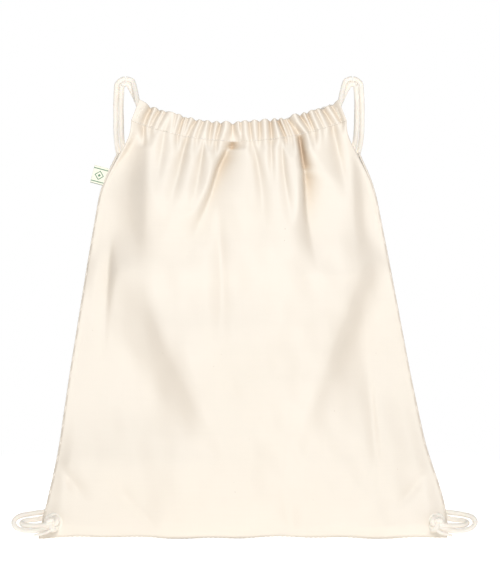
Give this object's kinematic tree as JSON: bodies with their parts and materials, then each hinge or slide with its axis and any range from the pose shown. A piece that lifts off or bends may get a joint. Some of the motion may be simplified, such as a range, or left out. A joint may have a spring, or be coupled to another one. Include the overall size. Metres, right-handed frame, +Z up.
{
  "type": "drawstring backpack",
  "caption": "Flat cotton drawstring backpack with a gathered mouth, doubled cord shoulder straps knotted through corner eyelets, and a side label.",
  "frame": {"origin": "middle of the bag's bottom edge, in the plane where the front and back panels meet", "axes": "+X to the right seen from the front, +Y from the front panel to the back panel (the wearer's side), +Z up to the mouth"},
  "size_m": [0.4388, 0.0634, 0.4319],
  "materials": {
    "calico": "undyed cotton calico, plain weave with small seed flecks",
    "cord": "braided undyed cotton cord",
    "thread": "undyed cotton sewing thread",
    "woven_label": "woven label, pale ground with plain green stripes"
  },
  "bodies": {
    "root": {"front_panel": "calico", "back_panel": "calico", "bottom_seam": "calico", "left_side_seam": "calico", "right_side_seam": "calico", "front_casing": "calico", "back_casing": "calico", "front_casing_stitching": "thread", "back_casing_stitching": "thread", "left_drawcord_casing_run": "cord", "right_drawcord_casing_run": "cord", "left_eyelet": "thread", "right_eyelet": "thread", "left_corner_loop": "cord", "right_corner_loop": "cord"},
    "left_mouth": {"left_front_bar_tack": "thread", "left_back_bar_tack": "thread", "left_strap_bridge": "cord"},
    "right_mouth": {"right_front_bar_tack": "thread", "right_back_bar_tack": "thread", "right_strap_bridge": "cord"},
    "label_edge": {"label_stitching": "thread"},
    "label": {"label": "woven_label"},
    "left_strap": {"left_shoulder_strap": "cord"},
    "right_strap": {"right_shoulder_strap": "cord"},
    "left_knot": {"left_stopper_knot": "cord", "left_eyelet_tie": "cord", "left_cord_tail": "cord"},
    "right_knot": {"right_stopper_knot": "cord", "right_eyelet_tie": "cord", "right_cord_tail": "cord"}
  },
  "joints": [
    {"name": "mouth_draw", "type": "slide", "parent": "root", "child": "left_mouth", "axis": [1, 0, 0], "range_m": [-0.055, 0.055], "deforming": ["front_panel", "back_panel", "left_side_seam", "right_side_seam", "front_casing", "back_casing", "front_casing_stitching", "back_casing_stitching", "left_drawcord_casing_run", "right_drawcord_casing_run", "left_strap_bridge", "right_strap_bridge"]},
    {"name": "mouth_draw_right", "type": "slide", "parent": "left_mouth", "child": "right_mouth", "axis": [-1, 0, 0], "range_m": [-0.11, 0.11]},
    {"name": "label_edge_draw", "type": "slide", "parent": "root", "child": "label_edge", "axis": [1, 0, 0], "range_m": [-0.055, 0.055]},
    {"name": "label_flip", "type": "hinge", "parent": "label_edge", "child": "label", "pos_m": [-0.12884, 0, 0.33897], "axis": [0.2588, 0, 0.9659], "range_deg": [-85, 85]},
    {"name": "left_strap_swing", "type": "hinge", "parent": "root", "child": "left_strap", "pos_m": [-0.1795, 0.01, 0.0145], "axis": [0.1615, -0.0144, 0.9868], "range_deg": [0, 135]},
    {"name": "right_strap_swing", "type": "hinge", "parent": "root", "child": "right_strap", "pos_m": [0.1795, 0.01, 0.0145], "axis": [0.1615, 0.0144, -0.9868], "range_deg": [0, 135]},
    {"name": "left_knot_pull", "type": "slide", "parent": "root", "child": "left_knot", "axis": [0, -1, 0], "range_m": [0, 0.012], "deforming": ["left_corner_loop"]},
    {"name": "right_knot_pull", "type": "slide", "parent": "root", "child": "right_knot", "axis": [0, -1, 0], "range_m": [0, 0.012], "deforming": ["right_corner_loop"]}
  ],
  "couplings": [
    {"joint": "mouth_draw_right", "follows": "mouth_draw", "ratio": 2},
    {"joint": "label_edge_draw", "follows": "mouth_draw", "ratio": 0.81}
  ]
}
